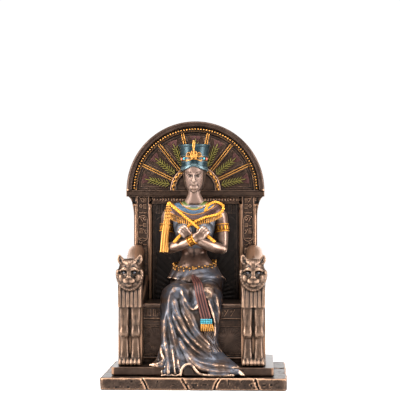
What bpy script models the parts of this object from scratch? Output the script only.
"""Egyptian queen figurine: a seated queen on a lion throne with an arched headboard, on a stone-block plinth.

Sizes are in millimetres and are turned to metres where a mesh is made. +Z is up, and the figure faces -Y.
The origin is the middle of the plinth's underside.
"""
import bmesh
import bpy
import numpy as np

for leftover in list(bpy.data.objects):
    bpy.data.objects.remove(leftover)

MM = 0.001
GAP = 0.3                # clear space kept between two pieces that touch
QUEEN_TRIANGLES, LION_TRIANGLES = 3500, 640

# Plinth: its width and depth follow from what stands on it, further down
PLINTH_HEIGHT = 12.0
PLINTH_CORNER = 5.0
JOINT_DEPTH = 1.5
JOINT_WIDTH = 2.6
SIDE_MARGIN = 11.5       # from the slab's end to the plinth's, were the slab in the middle
SLAB_SETBACK = 13.3      # from the plinth's front face to the slab's
REAR_SETBACK = 6.5       # from the plinth's rear face to the throne's

# Throne: every height below is taken from what carries it
THRONE_X = -2.8          # the throne stands a little left of the plinth's middle
SLAB_WIDTH = 152.0
SLAB_SHIFT = 1.5
SLAB_HEIGHT = 7.5
SEAT_HEIGHT = 57.0       # above the slab
SEAT_SETBACK = 34.0      # from the slab's front to the seat's
ARM_INNER = 47.0         # from the throne's middle
ARM_OUTER = 69.5
ARM_SETBACK = 12.0       # from the slab's front to the arm's front
ARM_HEIGHT = 96.0        # above the slab, at the front
ARM_BUMP = 17.0          # how much the arm rises towards the back
BACK_THICK = 22.0
PILASTER_WIDTH = 18.0
PILASTER_DEPTH = 3.0
HEAD_RISE = 108.9        # from the seat to the middle of the headboard's half circle
BAND_HEIGHT = 6.2
FLARE_HEIGHT = 22.0
FLARE_WIDTH = 7.3        # how far the headboard stands out past the pilasters
HEAD_RADIUS = 68.8
HEAD_PROUD = 4.0         # the headboard stands forward of the pilasters
PANEL_SUNK = 3.2         # the sunk panel lies behind the headboard's face
RELIEF_RISE = 1.2        # how far the bars and leaves stand out of the sunk panel
RIM_WIDTH = 7.8          # from the headboard's edge to its ring of beads
GROOVE_WIDTH = 3.0       # from the ring of beads to the sunk panel
HUB_RADIUS = 22.5
SECTORS = 7
LEAF_PAIRS = 4
LION_HEAD_Z = 87.5       # middle of the head, above the slab
LION_HALF = 11.6
BITE = 1.0               # how far solids that are cast as one run into each other
MOULDING_PROUD = 0.9     # the seat's mouldings stand out this far in front of it
NICHE_RAIL = 7.0         # between the niche and the headboard's band
NICHE_FRAME = 6.0        # round the sunk panel at the back of the niche
STRIP_WIDTH = 1.8        # thin strips beside the pilasters' marks
STRIP_EDGE = 1.2
STRIP_PROUD = 0.8

# Queen: places on the figure are counted from the middle of the seat's front top edge
KNEE_Z = 19.7
CROWN_BASE = 128.5
CROWN_TOP = 154.0
CROWN_RADIUS = 14.8
CROWN_MIDDLE = 40.0      # behind the seat's front edge, at the crown's top
CROWN_RIM = 1.1          # how far the crown's rim stands out at the back
FOOT_REACH = 4.5         # the skirt's foot stands this far in front of the slab
ROD_RADIUS = 1.6

# Rods: key rows of x, y and z, from the end below the fist upwards
FLAIL_ROD = ((21.6, 7.5, 58.5), (10.3, 11.0, 67.9), (-1.8, 14.7, 77.9), (-23.7, 21.0, 96.0))
CROOK_ROD = ((-19.0, 11.5, 57.9), (-9.5, 15.0, 68.8), (-1.8, 18.7, 76.4), (11.1, 21.2, 82.4),
             (22.3, 22.0, 85.2), (28.2, 22.5, 89.4), (28.0, 23.0, 94.4), (21.4, 23.0, 97.4),
             (14.5, 22.0, 94.4), (10.8, 21.0, 88.2))

# Worked out from the sizes above: the seat is as deep as the crown needs, clear of the headboard's relief
SEAT_DEPTH = (CROWN_MIDDLE + CROWN_RADIUS + CROWN_RIM + GAP + RELIEF_RISE
              - PANEL_SUNK + HEAD_PROUD + PILASTER_DEPTH)
PLINTH_WIDTH = SLAB_WIDTH + 2 * SIDE_MARGIN
PLINTH_DEPTH = SLAB_SETBACK + SEAT_SETBACK + SEAT_DEPTH + BACK_THICK + REAR_SETBACK
SLAB_TOP = PLINTH_HEIGHT + GAP + SLAB_HEIGHT
FOOT = SEAT_SETBACK + FOOT_REACH
SLAB_FRONT = -PLINTH_DEPTH / 2 + SLAB_SETBACK
REAR = PLINTH_DEPTH / 2 - REAR_SETBACK
SEAT_TOP = SLAB_TOP + SEAT_HEIGHT
SEAT_FRONT = SLAB_FRONT + SEAT_SETBACK
ARM_FRONT = SLAB_FRONT + ARM_SETBACK
BACK_FRONT = REAR - BACK_THICK
PILASTER_FRONT = BACK_FRONT - PILASTER_DEPTH
HEAD_FRONT = PILASTER_FRONT - HEAD_PROUD
HEAD_Z = SEAT_TOP + HEAD_RISE
BAND_Z = HEAD_Z - BAND_HEIGHT
ARM_MIDDLE = (ARM_INNER + ARM_OUTER) / 2
PILASTER_OUTER = HEAD_RADIUS - FLARE_WIDTH
PILASTER_INNER = PILASTER_OUTER - PILASTER_WIDTH
BEAD_RADIUS = HEAD_RADIUS - RIM_WIDTH
PANEL_RADIUS = BEAD_RADIUS - GROOVE_WIDTH


# Shapes: each gives the points and faces of one closed surface


def eased(keys, count):
    """Rows on a Catmull-Rom curve through the key rows, column by column."""
    keys = np.asarray(keys, float)
    padded = np.vstack([2 * keys[0] - keys[1], keys, 2 * keys[-1] - keys[-2]])
    along = np.linspace(0, len(keys) - 1, count)
    first = np.minimum(along.astype(int), len(keys) - 2)
    part = (along - first)[:, None]
    a, b, c, d = (padded[first + step] for step in range(4))
    return 0.5 * (2 * b + (c - a) * part + (2 * a - 5 * b + 4 * c - d) * part ** 2
                  + (3 * b - a - 3 * c + d) * part ** 3)


def ring_solid(rings):
    """Closed surface through rings of points, with a fan to a point at the middle of each end ring."""
    count, around = rings.shape[:2]
    points = np.vstack([rings.reshape(-1, 3), rings[0].mean(axis=0), rings[-1].mean(axis=0)])
    start, end = count * around, count * around + 1
    faces = []
    for ring in range(count - 1):
        for step in range(around):
            after = (step + 1) % around
            faces.append((ring * around + step, ring * around + after,
                          (ring + 1) * around + after, (ring + 1) * around + step))
    last = (count - 1) * around
    for step in range(around):
        after = (step + 1) % around
        faces.append((start, after, step))
        faces.append((end, last + step, last + after))
    return points, faces


def limb(keys, count=14, around=12, across=(1.0, 0.0, 0.0), power=2.0):
    """Rounded limb along a path: key rows hold x, y, z, half-width and half-depth; the ends are domed."""
    rows = eased(keys, count)
    path = rows[:, :3]
    along = np.gradient(path, axis=0)
    along /= np.linalg.norm(along, axis=1, keepdims=True)
    side = np.asarray(across, float) - along * (along @ np.asarray(across, float))[:, None]
    side /= np.linalg.norm(side, axis=1, keepdims=True)
    front = np.cross(along, side)
    angle = np.linspace(0, 2 * np.pi, around, endpoint=False)
    wide = np.sign(np.cos(angle)) * np.abs(np.cos(angle)) ** (2 / power)
    deep = np.sign(np.sin(angle)) * np.abs(np.sin(angle)) ** (2 / power)
    rings = (path[:, None, :] + rows[:, 3, None, None] * wide[None, :, None] * side[:, None, :]
             + rows[:, 4, None, None] * deep[None, :, None] * front[:, None, :])
    domes = []
    for index, sign in ((0, -1.0), (-1, 1.0)):
        reach = min(rows[index, 3], rows[index, 4])
        dome = [path[index] + sign * along[index] * reach * np.sin(tilt)
                + (rings[index] - path[index]) * np.cos(tilt) for tilt in (0.5, 1.0, 1.4)]
        domes.append(np.array(dome))
    return ring_solid(np.concatenate([domes[0][::-1], rings, domes[1]]))


def ball(centre, radii, around=12):
    """Ellipsoid as rings from its lowest to its highest point."""
    tilt = np.linspace(-np.pi / 2, np.pi / 2, around // 2 + 3)[1:-1]
    angle = np.linspace(0, 2 * np.pi, around, endpoint=False)
    rings = np.stack([np.cos(tilt)[:, None] * np.cos(angle), np.cos(tilt)[:, None] * np.sin(angle),
                      np.sin(tilt)[:, None] * np.ones(around)], axis=2)
    return ring_solid(rings * np.asarray(radii, float) + np.asarray(centre, float))


def box(low, high, bevel=0.0):
    """Box between two corners, with its edges cut off at 45 degrees by the bevel."""
    mesh = bmesh.new()
    bmesh.ops.create_cube(mesh, size=1.0)
    low, high = np.asarray(low, float), np.asarray(high, float)
    for vertex in mesh.verts:
        vertex.co = (low + high) / 2 + np.array(vertex.co) * (high - low)
    if bevel:
        bmesh.ops.bevel(mesh, geom=list(mesh.edges), offset=bevel, segments=1, affect="EDGES")
    mesh.verts.index_update()
    points = np.array([vertex.co[:] for vertex in mesh.verts])
    faces = [tuple(vertex.index for vertex in face.verts) for face in mesh.faces]
    mesh.free()
    return points, faces


def slab_of(outline, low, high):
    """Outline in the XZ plane, given anticlockwise as seen from the front, carried from Y low to Y high."""
    outline = np.asarray(outline, float)
    count = len(outline)
    front = np.column_stack([outline[:, 0], np.full(count, low), outline[:, 1]])
    rear = front + (0, high - low, 0)
    faces = [tuple(range(count)), tuple(range(2 * count - 1, count - 1, -1))]
    faces += [(step, step + count, (step + 1) % count + count, (step + 1) % count) for step in range(count)]
    return np.vstack([front, rear]), faces


def moved(shape, offset=(0, 0, 0), mirror=1):
    """The same shape, mirrored in X if asked, and then moved."""
    points, faces = shape
    return points * (mirror, 1, 1) + np.asarray(offset, float), faces


# From shapes to objects


def as_object(name, shapes, shift=THRONE_X):
    """One object holding the shapes, moved sideways, in metres, with each closed surface facing out."""
    mesh = bpy.data.meshes.new(name)
    points, faces, base = [], [], 0
    for shape_points, shape_faces in shapes:
        points.append(shape_points)
        faces += [tuple(index + base for index in face) for face in shape_faces]
        base += len(shape_points)
    mesh.from_pydata(((np.vstack(points) + (shift, 0, 0)) * MM).tolist(), [], faces)
    work = bmesh.new()
    work.from_mesh(mesh)
    bmesh.ops.recalc_face_normals(work, faces=list(work.faces))
    work.to_mesh(mesh)
    work.free()
    result = bpy.data.objects.new(name, mesh)
    bpy.context.scene.collection.objects.link(result)
    return result


def settled(item):
    """The object with its modifiers worked into its mesh."""
    graph = bpy.context.evaluated_depsgraph_get()
    mesh = bpy.data.meshes.new_from_object(item.evaluated_get(graph))
    item.modifiers.clear()
    item.data = mesh
    return item


def joined(item, others, operation="UNION", solver="EXACT"):
    """The object after a Boolean with the others, which are used up."""
    for other in others:
        step = item.modifiers.new(other.name, "BOOLEAN")
        step.operation = operation
        step.solver = solver
        if solver == "EXACT":
            step.use_self = "loose" in other.name
        step.object = other
        settled(item)
        bpy.data.objects.remove(other)
    return item


def blended(name, shapes, voxel, triangles, smooth=2):
    """The shapes melted into one skin of small squares, softened, and thinned to the triangles asked for."""
    item = as_object(name, shapes)
    melt = item.modifiers.new("melt", "REMESH")
    melt.mode = "VOXEL"
    melt.voxel_size = voxel * MM
    soften = item.modifiers.new("soften", "SMOOTH")
    soften.iterations = smooth
    soften.factor = 0.5
    settled(item)
    thin = item.modifiers.new("thin", "DECIMATE")
    thin.use_collapse_triangulate = True
    thin.ratio = triangles / sum(len(face.vertices) - 2 for face in item.data.polygons)
    return settled(item)


def finish(item, colour, roughness, metallic, sharp=40.0):
    """Give the object its material and smooth shading with its sharp edges kept."""
    material = bpy.data.materials.new(item.name)
    material.use_nodes = True
    shader = material.node_tree.nodes["Principled BSDF"]
    shader.inputs["Base Color"].default_value = (*colour, 1.0)
    shader.inputs["Roughness"].default_value = roughness
    shader.inputs["Metallic"].default_value = metallic
    item.data.materials.clear()
    item.data.materials.append(material)
    item.data.shade_smooth()
    item.data.set_sharp_from_angle(angle=np.radians(sharp))
    return item


# Plinth


def side_marks(length, marks):
    """Places along one side, at its top and at its foot, and how deep each lies in a joint."""
    top, foot, deep = [0.0], [0.0], [0.0]
    for share_top, share_foot in marks:
        for step, depth in ((-0.5, 0.0), (0.0, JOINT_DEPTH), (0.5, 0.0)):
            top.append(share_top * length + step * JOINT_WIDTH)
            foot.append(share_foot * length + step * JOINT_WIDTH)
            deep.append(depth)
        top.append(share_top * length + 0.09 * length)
        foot.append(share_foot * length + 0.09 * length)
        deep.append(0.0)
    return np.array(top), np.array(foot), np.array(deep)


def plinth_wall(height_share, inset):
    """One ring of the plinth: straight sides with slanting joints, and rounded corners."""
    half_x, half_y = PLINTH_WIDTH / 2, PLINTH_DEPTH / 2
    corners = ((-half_x, -half_y), (half_x, -half_y), (half_x, half_y), (-half_x, half_y))
    marks = (((0.213, 0.241), (0.433, 0.466), (0.652, 0.618), (0.847, 0.875)), ((0.3, 0.27), (0.62, 0.66)),
             ((0.2, 0.17), (0.46, 0.5), (0.74, 0.7)), ((0.36, 0.4), (0.7, 0.66)))
    ring = []
    for side in range(4):
        start, end = np.array(corners[side]), np.array(corners[(side + 1) % 4])
        length = np.linalg.norm(end - start) - 2 * PLINTH_CORNER
        along = (end - start) / np.linalg.norm(end - start)
        inward = np.array((-along[1], along[0]))
        top, foot, deep = side_marks(length, marks[side])
        place = foot + (top - foot) * height_share + PLINTH_CORNER
        rough = 0.35 * (1 - np.cos(place * 0.31 + 4 * side)) * (1 if inset else 0.4)
        ring.append(start + place[:, None] * along + (inset + deep + rough)[:, None] * inward)
        centre = end - along * PLINTH_CORNER + inward * PLINTH_CORNER
        for turn in (0.0, 0.55, 1.1):
            ring.append([centre + (PLINTH_CORNER - inset) * (np.sin(turn) * along - np.cos(turn) * inward)])
    flat = np.vstack(ring)
    return np.column_stack([flat, np.full(len(flat), height_share * PLINTH_HEIGHT)])


def make_plinth():
    """Rough stone blocks round the edge of a flat base."""
    rings = [plinth_wall(share, inset) for share, inset in
             ((0.0, 0.8), (0.12, 0.0), (0.84, 0.1), (0.97, 0.9), (1.0, 2.2))]
    return finish(as_object("plinth", [ring_solid(np.array(rings))], 0.0), (0.09, 0.06, 0.045), 0.5, 0.7)


# Throne


def arm():
    """Side panel with a rounded top that rises towards the back, seen from the front as an upright shape."""
    reach = BACK_FRONT + 4 - (ARM_FRONT + 4)
    places = np.array([0.0, 0.25, 0.5, 0.7, 0.82, 0.92, 1.0])
    rise = np.array([-0.1, 0.0, 0.25, 0.7, 0.97, 1.0, 0.75])
    wide = (ARM_OUTER - ARM_INNER) / 2
    low = SLAB_TOP - BITE
    rings = []
    for place, lift in zip(places, rise):
        top = SLAB_TOP + ARM_HEIGHT + lift * ARM_BUMP
        profile = [(-wide, low), (wide, low), (wide, top - 32), (wide - 0.6, top - 27),
                   (wide - 2.2, top - 26), (wide - 2.2, top - 7), (wide - 5, top - 1.6), (0, top),
                   (5 - wide, top - 1.6), (3.6 - wide, top - 7), (3.6 - wide, top - 26),
                   (0.6 - wide, top - 27), (-wide, top - 32)]
        rings.append([(ARM_MIDDLE + x, ARM_FRONT + 4 + place * reach, z) for x, z in profile])
    return ring_solid(np.array(rings))


def back_outline():
    """The backrest from the front: straight pilasters, flared brackets and the half-round top."""
    foot = SLAB_TOP - BITE
    turn = np.linspace(0, np.pi / 2, 7)
    flare_x = PILASTER_OUTER + (HEAD_RADIUS - PILASTER_OUTER) * (1 - np.cos(turn))
    flare_z = BAND_Z - FLARE_HEIGHT + FLARE_HEIGHT * np.sin(turn)
    right = [(PILASTER_OUTER, foot)] + list(zip(flare_x, flare_z)) + [(HEAD_RADIUS, HEAD_Z + 2)]
    return right + [(-x, z) for x, z in right[::-1]]


def headboard(segments=28):
    """Half disc turned from a profile of radius and Y: rim, bead ring, sunk panel, hub and flat back."""
    front = HEAD_FRONT
    sunk = front + PANEL_SUNK
    profile = [(0.0, sunk + 0.5), (HUB_RADIUS - 3.2, sunk + 0.5), (HUB_RADIUS - 2.4, front + 1.0),
               (HUB_RADIUS + 2.4, front + 1.0), (HUB_RADIUS + 3.2, sunk), (PANEL_RADIUS - 0.7, sunk),
               (PANEL_RADIUS + 0.4, front + 2.0), (BEAD_RADIUS - 1.5, front + 1.8),
               (BEAD_RADIUS, front + 0.6), (BEAD_RADIUS + 1.5, front + 1.4),
               (HEAD_RADIUS - 5.8, front + 0.2), (HEAD_RADIUS - 3.2, front - 0.5),
               (HEAD_RADIUS - 1.0, front + 0.5), (HEAD_RADIUS, front + 3.0), (HEAD_RADIUS, REAR - 1.5),
               (HEAD_RADIUS - 1.5, REAR)]
    dip = 0.02
    angle = np.linspace(-dip, np.pi + dip, segments + 1)
    radius, depth = np.array(profile).T
    rings = np.stack([np.cos(angle)[:, None] * radius, np.broadcast_to(depth, (len(angle), len(radius))),
                      HEAD_Z + np.sin(angle)[:, None] * radius], axis=2)
    count, around = rings.shape[:2]
    hub_front = rings[0, 0]
    hub_rear = np.array((0.0, REAR, HEAD_Z))
    points = np.vstack([rings[:, 1:].reshape(-1, 3), hub_front, hub_rear])
    around -= 1
    front_pole, rear_pole = count * around, count * around + 1
    faces = []
    for ring in range(count - 1):
        here, there = ring * around, (ring + 1) * around
        faces.append((front_pole, here, there))
        faces.append((rear_pole, there + around - 1, here + around - 1))
        faces += [(here + step, here + step + 1, there + step + 1, there + step)
                  for step in range(around - 1)]
    faces.append((front_pole, *range((count - 1) * around, count * around), rear_pole))
    faces.append((rear_pole, *range(around - 1, -1, -1), front_pole))
    return points, faces


def on_ray(angle, radius, across, depth):
    """The point at a radius along a ray of the headboard, a little to its side."""
    along = np.array((np.cos(angle), 0, np.sin(angle)))
    side = np.array((-np.sin(angle), 0, np.cos(angle)))
    return np.array((0, depth, HEAD_Z)) + along * radius + side * across


def ray_bar(angle, inner, outer, across, half, rise):
    """Thin bar along a ray, standing out of the sunk panel."""
    sunk = HEAD_FRONT + PANEL_SUNK
    rings = [[on_ray(angle, radius, across - half, sunk + 1), on_ray(angle, radius, across + half, sunk + 1),
              on_ray(angle, radius, across + half * 0.6, sunk - rise),
              on_ray(angle, radius, across - half * 0.6, sunk - rise)] for radius in (inner, outer)]
    return ring_solid(np.array(rings))


def leaflet(angle, radius, side, length, half, rise):
    """Pointed leaflet that leaves its branch at 35 degrees, with a raised midrib."""
    sunk = HEAD_FRONT + PANEL_SUNK
    lean = np.radians(35) * side
    start = on_ray(angle, radius, side * 0.9, sunk)
    along = np.array((np.cos(angle + lean), 0, np.sin(angle + lean)))
    wide = np.array((-np.sin(angle + lean), 0, np.cos(angle + lean)))
    middle = start + along * length * 0.45
    deep = np.array((0, 1.0, 0))
    points = np.array([start, middle + wide * half, start + along * length, middle - wide * half,
                       middle - deep * rise, middle + deep])
    points[:4] += deep * 0.25
    faces = [(0, 1, 4), (1, 2, 4), (2, 3, 4), (3, 0, 4), (1, 0, 5), (2, 1, 5), (3, 2, 5), (0, 3, 5)]
    return points, faces


def head_relief():
    """Double bars between the sectors, and in each sector a laurel branch and a triangle at its outer end."""
    bars, leaves = [], []
    for step in range(1, SECTORS):
        angle = np.pi * step / SECTORS
        bars += [ray_bar(angle, HUB_RADIUS + BITE, PANEL_RADIUS + BITE, across, 0.7, RELIEF_RISE)
                 for across in (-1.1, 1.1)]
    for step in range(SECTORS):
        angle = np.pi * (step + 0.5) / SECTORS
        bars.append(ray_bar(angle, HUB_RADIUS + 4, PANEL_RADIUS - 12, 0.0, 0.5, 0.6 * RELIEF_RISE))
        for pair in range(LEAF_PAIRS):
            radius = HUB_RADIUS + 5.5 + pair * 4.4
            leaves += [leaflet(angle, radius, side, 6.0, 1.1, 0.8 * RELIEF_RISE) for side in (-1, 1)]
        rings = [[on_ray(angle, PANEL_RADIUS - 9, -0.4, depth), on_ray(angle, PANEL_RADIUS - 9, 0.4, depth),
                  on_ray(angle, PANEL_RADIUS - 3, 4.0, depth), on_ray(angle, PANEL_RADIUS - 3, -4.0, depth)]
                 for depth in (HEAD_FRONT + PANEL_SUNK - 0.7, HEAD_FRONT + PANEL_SUNK + 1.3)]
        leaves.append(ring_solid(np.array(rings)))
    return bars, leaves


def lion():
    """One lion front, seen from its own middle: head, ruff, fluted bib, two legs and six-toed paws."""
    front = ARM_FRONT
    head_z = SLAB_TOP + LION_HEAD_Z
    leg_top = SLAB_TOP + 55
    shapes = [
        ball((0, front + 3, head_z + 1), (11.0, 10.5, 12.5), 20),
        ball((0, front - 5.5, head_z - 6), (6.2, 5.0, 5.6), 14),
        ball((0, front - 9.3, head_z - 3), (2.8, 2.0, 2.0), 10),
        ball((0, front - 5.5, head_z - 10.6), (3.6, 3.0, 2.6), 10),
        limb([(0, front - 6, head_z + 9, 2.6, 1.5), (0, front - 8.5, head_z - 2, 2.2, 1.6)], 8, 8),
    ]
    for side in (-1, 1):
        shapes += [
            ball((side * 8.6, front + 2, head_z + 12.3), (3.4, 2.2, 4.0), 10),
            ball((side * 4.9, front - 6.0, head_z + 4.4), (3.6, 1.8, 1.6), 10),
            ball((side * 6.9, front - 3, head_z - 4), (3.8, 4.4, 4.6), 12),
        ]
    turn = np.linspace(np.pi, 2 * np.pi, 9)
    ruff = [(10.4 * np.cos(a), front + 0.5, head_z - 1 + 14.5 * np.sin(a), 2.1, 4.0) for a in turn]
    shapes.append(limb(ruff, 18, 8, across=(0, 0, 1)))
    shapes.append(box((-LION_HALF, front, leg_top), (LION_HALF, front + 12, head_z - 8)))
    for step in range(6):
        x = (step - 2.5) * LION_HALF / 3
        shapes.append(limb([(x, front + 0.2, leg_top + 1.2, 1.75, 2.2),
                            (x * 0.96, front + 0.8, head_z - 11, 1.5, 2)], 5, 8))
    for side in (-1, 1):
        x = side * 5.3
        shapes.append(limb([(x, front + 4, leg_top + 2, 5.2, 5.0), (x, front + 3.6, SLAB_TOP + 40, 4.9, 4.8),
                            (x, front + 3.0, SLAB_TOP + 32, 5.1, 5.2),
                            (x, front + 4, SLAB_TOP + 27, 4.2, 4.4),
                            (x, front + 4, SLAB_TOP + 10, 4.6, 4.8), (x, front + 3, SLAB_TOP + 5, 5.2, 5.5)],
                           16, 12, power=2.6))
        for toe in (-1, 0, 1):
            shapes.append(limb([(x + toe * 3.5, front + 5, SLAB_TOP + 3.4, 2.1, 4.0),
                                (x + toe * 3.6, front - 2, SLAB_TOP + 3.2, 1.8, 3.4),
                                (x + toe * 3.7, front - 4.2, SLAB_TOP + 2.0, 1.6, 2.4)], 6, 8))
    shapes.append(box((-LION_HALF, front + 5, SLAB_TOP - BITE), (LION_HALF, front + 14, leg_top + 4)))
    return shapes


def make_throne():
    """The throne: slab, seat, arms, backrest, headboard with its relief, and the two lion fronts."""
    throne = as_object("throne", [box((SLAB_SHIFT - SLAB_WIDTH / 2, SLAB_FRONT, PLINTH_HEIGHT + GAP),
                                      (SLAB_SHIFT + SLAB_WIDTH / 2, REAR, SLAB_TOP), 0.8)])
    inner = ARM_INNER + BITE
    seat = as_object("seat", [box((-inner, SEAT_FRONT, SLAB_TOP - BITE), (inner, REAR - BITE, SEAT_TOP))])
    mouldings = []
    for top, height in ((SEAT_TOP - 1.2, 2.6), (SEAT_TOP - 13.2, 1.6), (SLAB_TOP + 6, 1.6)):
        mouldings.append(as_object("moulding", [box((-inner + 0.4, SEAT_FRONT - MOULDING_PROUD, top - height),
                                                    (inner - 0.4, SEAT_FRONT + 2 * BITE, top))]))
    back = as_object("back", [slab_of(back_outline(), PILASTER_FRONT, REAR - 0.5)])
    niche_top = BAND_Z - NICHE_RAIL
    niche = as_object("niche", [box((-PILASTER_INNER, PILASTER_FRONT - 5, SEAT_TOP + 0.5),
                                    (PILASTER_INNER, BACK_FRONT, niche_top))])
    panel = as_object("panel", [box((-PILASTER_INNER + NICHE_FRAME, PILASTER_FRONT - 5, SEAT_TOP + 8),
                                    (PILASTER_INNER - NICHE_FRAME, BACK_FRONT + 1.2, niche_top - 10))])
    band = as_object("band", [box((-HEAD_RADIUS, HEAD_FRONT, BAND_Z),
                                  (HEAD_RADIUS, REAR, HEAD_Z), 0.6)])
    arms = [as_object("arm", [moved(arm(), mirror=side)]) for side in (-1, 1)]
    strips = []
    for side in (-1, 1):
        for low in (PILASTER_INNER + STRIP_EDGE, PILASTER_OUTER - STRIP_EDGE - STRIP_WIDTH):
            strip = box((low, PILASTER_FRONT - STRIP_PROUD, SEAT_TOP + 20),
                        (low + STRIP_WIDTH, PILASTER_FRONT + BITE, BAND_Z + BITE))
            strips.append(as_object("strip", [moved(strip, mirror=side)]))
    bars, leaves = head_relief()
    joined(back, [niche, panel], "DIFFERENCE")
    joined(throne, [seat, *mouldings, back, *arms, as_object("headboard", [headboard()]), band, *strips])
    joined(throne, [as_object("bars_loose", bars), as_object("leaves_loose", leaves)])
    for side in (-1, 1):
        placed = [moved(shape, (side * ARM_MIDDLE, 0, 0)) for shape in lion()]
        joined(throne, [blended("lion", placed, 0.7, LION_TRIANGLES, 1)], solver="MANIFOLD")
    return finish(throne, (0.11, 0.07, 0.05), 0.42, 0.75, 35.0)


# Queen


def sit(shape, mirror=1):
    """A shape given from the middle of the seat's front top edge, put in its place."""
    return moved(shape, (0, SEAT_FRONT, SEAT_TOP), mirror)


def body_shapes():
    """Torso, neck, head, crown and belt."""
    torso = limb([(0.5, 34, 8, 24, 17), (0.5, 34, 16, 24.5, 18), (1, 35, 32, 20, 14), (0, 37, 46, 12.6, 9.5),
                  (0, 36.5, 59, 16.5, 11.5), (0, 35.5, 71, 20, 13), (0, 36, 79, 22, 12.5),
                  (0, 37.5, 87, 27, 10.5), (0, 38, 92.5, 19, 9), (0, 37.5, 97.5, 10, 7.5),
                  (0, 36, 106, 6, 6.2), (0, 35.5, 115, 6, 6.5)], 40, 28)
    head = limb([(0, 27.5, 108.8, 3.2, 3.0), (0, 30.5, 111, 6.2, 7), (0, 32.5, 116, 9, 10),
                 (0, 34, 123, 10.8, 12), (0, 35, 129, 11, 12.8), (0, 36, 135, 11, 12.5)], 20, 24)
    nose = limb([(0, 22.8, 124.5, 1.0, 1.2), (0, 21.7, 120, 1.3, 1.4), (0, 21.2, 117.8, 1.6, 1.1)], 8, 8)
    shapes = [torso, head, nose, ball((0, 24.0, 113.4), (3.0, 1.5, 1.3), 10)]
    for side in (-1, 1):
        shapes.append(ball((side * 10.8, 35, 121), (1.4, 2.6, 4.0), 10))
        shapes.append(ball((side * 9.5, 25.5, 70), (8.5, 7.5, 8.2), 16))
    collar = limb([(0, 37, 97, 11.5, 9), (0, 36.5, 93.5, 19.5, 10.5), (0, 36.5, 88, 26, 12.3),
                   (0, 36, 82, 22.5, 13.8)], 10, 28)
    shapes.append(collar)
    return shapes


def crown():
    """Tall flat-topped crown: narrowest at a third of its height, leaning back, cut low behind the ears."""
    angle = np.linspace(0, 2 * np.pi, 32, endpoint=False)
    facing = -np.sin(angle)
    foot = CROWN_BASE + 2.2 * (facing + 0.1)
    shares = np.array([0.0, 0.15, 0.36, 0.5, 0.7, 0.9, 0.94, 1.0])
    flare = np.interp(shares, (0, 0.36, 1.0), (13.0, 12.7, CROWN_RADIUS))
    flare[-3] += 0.1
    flare[-2] += 0.7
    flare[-1] += CROWN_RIM - 0.6
    rings = []
    for share, radius in zip(shares, flare):
        z = foot + (CROWN_TOP - foot) * share
        y = CROWN_MIDDLE - 4 * (1 - share) + (radius + 0.6) * np.sin(angle)
        rings.append(np.column_stack([radius * np.cos(angle), y, z]))
    return ring_solid(np.array(rings))


def uraeus():
    """The rearing serpent on the crown's front, over the ornament band."""
    shapes = [limb([(0, 22.6, 141, 1.8, 1.4), (0, 22.0, 147, 1.2, 1.2), (0, 21.6, 152, 1.5, 1.2),
                    (0, 21.2, 155, 0.9, 0.9)], 10, 8),
              ball((0, 23.4, 143), (3.2, 1.6, 3.4), 10)]
    for side in (-1, 1):
        shapes.append(ball((side * 5.0, 24.4, 143.4), (2.6, 1.6, 2.0), 10))
    return shapes


def arms():
    """Both arms crossed on the chest, with the armbands, the bracelet and the fists round the two rods."""
    shapes = []
    for side in (-1, 1):
        shapes.append(limb([(side * 22.8, 38, 86.0, 7.4, 7.8), (side * 26.0, 37.5, 78, 6.8, 7.4),
                            (side * 27.4, 36, 66, 6.0, 6.6), (side * 27.8, 34, 54, 5.3, 5.7),
                            (side * 27, 32.5, 51, 5, 5.2)], 14, 14))
        shapes.append(limb([(side * 26.7, 36.9, 74.5, 7.3, 7.9), (side * 27.3, 36.2, 68.5, 7.1, 7.6)], 3, 16))
    near = [(-27, 32, 51.5, 5.2, 5.2), (-20, 23, 53.5, 5.6, 5.4), (-9, 15, 57, 4.8, 4.6),
            (-0.5, 11.2, 60.5, 3.9, 3.7), (5, 10.5, 65, 4.2, 3.6), (8.5, 10.8, 68, 4.4, 3.6)]
    far = [(27.5, 32, 51.5, 5.2, 5.2), (17, 24, 54.5, 5.2, 5.2), (6, 18.5, 59, 4.4, 4.4),
           (-3, 16.0, 64, 4.2, 3.6), (-7.5, 14.8, 67, 4.4, 3.6)]
    shapes += [limb(near, 20, 14, across=(0, 0, 1)), limb(far, 20, 14, across=(0, 0, 1))]
    shapes.append(limb([(-3.6, 12.6, 59.0, 5.3, 5.1), (1.6, 11.0, 62.2, 5.0, 4.8)], 3, 16, across=(0, 0, 1)))
    for keys in (FLAIL_ROD, CROOK_ROD):
        grip, along = rod_place(keys)
        shapes.append(ball(grip, (5.6, 4.6, 5.6), 14))
        for finger in (-1.5, -0.5, 0.5, 1.5):
            knuckle = grip + along * finger * 2.5 + (0, -2.6, 1.0)
            shapes.append(ball(knuckle, (1.9, 2.6, 3.0), 8))
    return shapes


def rod_place(keys):
    """Middle of the grip and the rod's direction there."""
    keys = np.array(keys)
    along = keys[2] - keys[0]
    return keys[1], along / np.linalg.norm(along)


def rod(keys, extra=0.0, count=30, around=8):
    """Round rod through the keys, with the extra added to its radius."""
    rows = [(*key, ROD_RADIUS + extra, ROD_RADIUS + extra) for key in keys]
    return limb(rows, count, around, across=(0, 1, 0))


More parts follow.
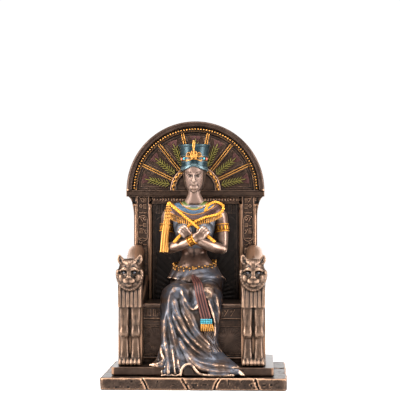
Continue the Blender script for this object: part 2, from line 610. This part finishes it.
def lashes():
    """Three lashes that hang side by side from the flail's top and spread a little."""
    rows = eased([(-24.0, 20.6, 95.5, 2.0, 1.5), (-25.6, 19.8, 84, 2.4, 1.5), (-27.4, 18.8, 66, 3.0, 1.5),
                  (-28.6, 18.0, 48.8, 3.4, 1.5)], 8)
    angle = np.linspace(0, 2 * np.pi, 18, endpoint=False)
    lobes = 1 - 0.18 * np.cos(3 * np.arccos(np.clip(np.cos(angle), -1, 1))) * np.sin(angle) ** 2
    rings = np.stack([rows[:, 0, None] + rows[:, 3, None] * np.cos(angle),
                      rows[:, 1, None] + rows[:, 4, None] * np.sin(angle) * lobes,
                      rows[:, 2, None] + np.zeros(18)], axis=2)
    return ring_solid(rings)


# Folds of the skirt as lines on its front: x from the middle, and height as a share from floor to knee
FOLDS = (
    ((-28.5, 0.85), (-29.2, 0.52), (-29.9, 0.40), (-28.5, 0.30)),
    ((-27.1, 0.69), (-26.4, 0.52), (-25.5, 0.40), (-25.0, 0.28), (-20.9, 0.16), (-20.2, 0.09)),
    ((-18.8, 0.98), (-21.6, 0.85), (-21.6, 0.66), (-18.8, 0.51), (-15.4, 0.40), (-12.6, 0.26), (-8.5, 0.16)),
    ((-15.4, 0.40), (-9.2, 0.33), (-0.2, 0.22), (9.5, 0.14), (23.3, 0.12), (34.0, 0.11)),
    ((-17.5, 0.95), (-17.5, 0.79), (-13.3, 0.65), (-7.8, 0.52), (-0.2, 0.43), (10.8, 0.30), (21.2, 0.19)),
    ((-11.2, 0.97), (-8.5, 0.86), (-4.3, 0.76), (-0.2, 0.72), (3.9, 0.74), (6.0, 0.79)),
    ((-12.0, 0.80), (-9.2, 0.69), (-4.3, 0.57), (2.6, 0.46), (8.0, 0.37), (16.4, 0.29), (21.2, 0.25)),
    ((-0.2, 0.54), (5.3, 0.45), (13.6, 0.34), (23.3, 0.25)),
    ((17.7, 0.95), (23.3, 0.81), (26.4, 0.66), (25.4, 0.52), (24.0, 0.35)),
    ((2.6, 0.16), (9.5, 0.08), (23.3, 0.04), (37.0, 0.04)),
)


def fold_rise(x, height, spread, knee):
    """How far the cloth stands out: each fold line lifts it by a bell of its own width."""
    rise = np.zeros_like(x)
    for line in FOLDS:
        line = np.array(line) * (1, knee)
        nearest = np.full_like(x, 1e9)
        for start, end in zip(line[:-1], line[1:]):
            run = end - start
            share = np.clip(((x - start[0]) * run[0] + (height - start[1]) * run[1]) / (run @ run), 0, 1)
            gap = np.hypot(x - start[0] - share * run[0], height - start[1] - share * run[1])
            nearest = np.minimum(nearest, gap)
        rise = np.maximum(rise, np.exp(-(nearest / spread) ** 2))
    return rise


def skirt():
    """The skirt from the knees to the floor: a rounded section at each height, swept out into the train."""
    floor = PLINTH_HEIGHT + GAP - SEAT_TOP
    rows = eased([(0.00, 27.0, 50.0, -FOOT, -35.5), (0.05, 28.5, 50.0, 0.5 - FOOT, -35.0),
                  (0.10, 28.5, 44.5, 2.5 - FOOT, -32), (0.17, 28.8, 36.0, -31.5, -24),
                  (0.25, 29.2, 28.5, -27.0, -15), (0.36, 29.6, 25.0, -24.0, -10),
                  (0.52, 30.2, 26.3, -22.0, -8), (0.68, 30.6, 28.0, -20.5, -7),
                  (0.85, 30.2, 29.2, -19.2, -6), (0.94, 27.5, 26.5, -17.6, -5),
                  (1.00, 21.0, 20.0, -12.0, -4)], 100)
    angle = np.linspace(0, 2 * np.pi, 160, endpoint=False)
    wide = np.where(np.cos(angle) < 0, rows[:, 1, None], rows[:, 2, None])
    x = wide * np.sign(np.cos(angle)) * np.abs(np.cos(angle)) ** 0.8
    deep = np.where(np.sin(angle) < 0, rows[:, 4, None] - rows[:, 3, None], 3.0 - rows[:, 4, None])
    y = rows[:, 4, None] + deep * np.sign(np.sin(angle)) * np.abs(np.sin(angle)) ** 0.8
    knee = KNEE_Z - floor
    height = rows[:, 0, None] * knee + np.zeros_like(x)
    rise = fold_rise(x, height, 2.5, knee) * np.clip(-np.sin(angle) * 3, 0, 1)
    y = y - 4.4 * rise + 1.6
    return ring_solid(np.stack([x, y, floor + height], axis=2))


def lap():
    """Thighs, knees, the cloth between them, the short overskirt and its pointed corner."""
    shapes = [limb([(0, 34, 11, 22, 9), (0, 12, 10, 22.5, 8.5), (0, -8, 8, 20, 8)], 12, 20),
              limb([(1, 35, 34.5, 15, 3), (1, 35, 33, 21.5, 15.5), (1, 33, 28, 24.2, 18.7),
                    (2, 31, 21, 26.8, 21.3), (3, 29, 16, 27.5, 23)], 12, 28),
              limb([(17, 20, 27, 6, 3), (25, 18, 24, 4.5, 2.4), (32, 21, 20.5, 1.6, 1.2)], 8, 10)]
    for side in (-1, 1):
        shapes.append(limb([(side * 12, 30, 13, 13, 10.5), (side * 13.5, 12, 12, 12, 9.5),
                            (side * 15, -8, 10.2, 10.5, 9.4), (side * 15, -13, 8.5, 9.5, 9)], 12, 18))
    return shapes


def belt():
    """Beaded belt round the hips, lower in front and at the figure's right."""
    angle = np.linspace(0, 2 * np.pi, 25)
    facing = -np.sin(angle)
    path = np.column_stack([1 + 21.5 * np.cos(angle), 34.5 + 16.4 * np.sin(angle),
                            37.0 - 4.2 * np.clip(facing, 0, 1) + 1.4 * np.cos(angle)])
    rows = np.column_stack([path, np.full(25, 2.1), np.full(25, 1.7)])
    return limb(rows, 60, 8, across=(0, 0, 1))


def sash():
    """Flat sash from the belt's middle, down over the right-hand knee, to its tassels."""
    return limb([(1, 18.5, 31, 4, 1.5), (2, 12, 22, 5, 1.6), (4, 0, 19.5, 6, 1.6), (6, -11, 18.5, 6.2, 1.8),
                 (9, -18.2, 9, 6, 1.8), (12, -19.2, -5, 5.4, 1.8), (14, -20.4, -15, 5, 1.8),
                 (15.5, -21.4, -24, 5.2, 2.0)], 30, 10)


def hem():
    """Curled flare at the left, and the wave of the hem that runs over the slab's edge."""
    floor = PLINTH_HEIGHT + GAP - SEAT_TOP
    front = -FOOT - 0.5
    return [limb([(-28.6, -19, floor + 25, 2.0, 2.0), (-28.0, -25, floor + 18, 3.0, 2.4),
                  (-26.5, -29, floor + 12.5, 3.6, 2.8), (-30, -30, floor + 10.5, 3.0, 2.2),
                  (-38.5, -29, floor + 10, 1.8, 1.6)], 16, 10, across=(0, 0, 1)),
            limb([(-9, front, floor + 2, 1.6, 2.0), (-5, front, floor + 9, 1.6, 2.0),
                  (-1, front, floor + 11, 1.6, 2.0), (5.6, front, floor + 5.5, 1.8, 2.0),
                  (12, front, floor + 2.2, 1.8, 2.0), (30, front, floor + 2.0, 1.8, 1.8)],
                 24, 8, across=(0, 1, 0))]


def make_queen():
    """The figure melted into one casting, then cut clear of throne, plinth and both rods."""
    shapes = body_shapes() + [crown()] + uraeus() + arms() + [skirt()] + lap() + [belt(), sash()] + hem()
    queen = blended("queen", [sit(shape) for shape in shapes], 0.7, QUEEN_TRIANGLES, 1)
    side = SLAB_WIDTH
    seat_clear = box((-side, SEAT_FRONT - MOULDING_PROUD - GAP, -5), (side, REAR + 20, SEAT_TOP + GAP))
    slab_clear = box((-side, SLAB_FRONT - GAP, -5), (side, REAR + 20, SLAB_TOP + GAP))
    plinth_clear = box((-side, -PLINTH_DEPTH, -5), (side, REAR + 20, PLINTH_HEIGHT + GAP))
    cutters = [as_object("clear", [shape]) for shape in (seat_clear, slab_clear, plinth_clear)]
    cutters += [as_object("grip", [sit(rod(keys, GAP + 0.05))]) for keys in (FLAIL_ROD, CROOK_ROD)]
    joined(queen, cutters, "DIFFERENCE")
    return finish(queen, (0.20, 0.17, 0.16), 0.4, 0.6, 50.0)


def make_rods():
    """The gilt crook, and the gilt flail with its lashes."""
    crook = as_object("crook", [sit(rod(CROOK_ROD, 0.0, 30, 7))])
    flail = as_object("flail", [sit(rod(FLAIL_ROD, 0.0, 10, 7))])
    joined(flail, [as_object("lashes", [sit(lashes())])])
    for item in (crook, flail):
        finish(item, (0.62, 0.38, 0.10), 0.35, 0.9)


make_plinth()
make_throne()
make_queen()
make_rods()
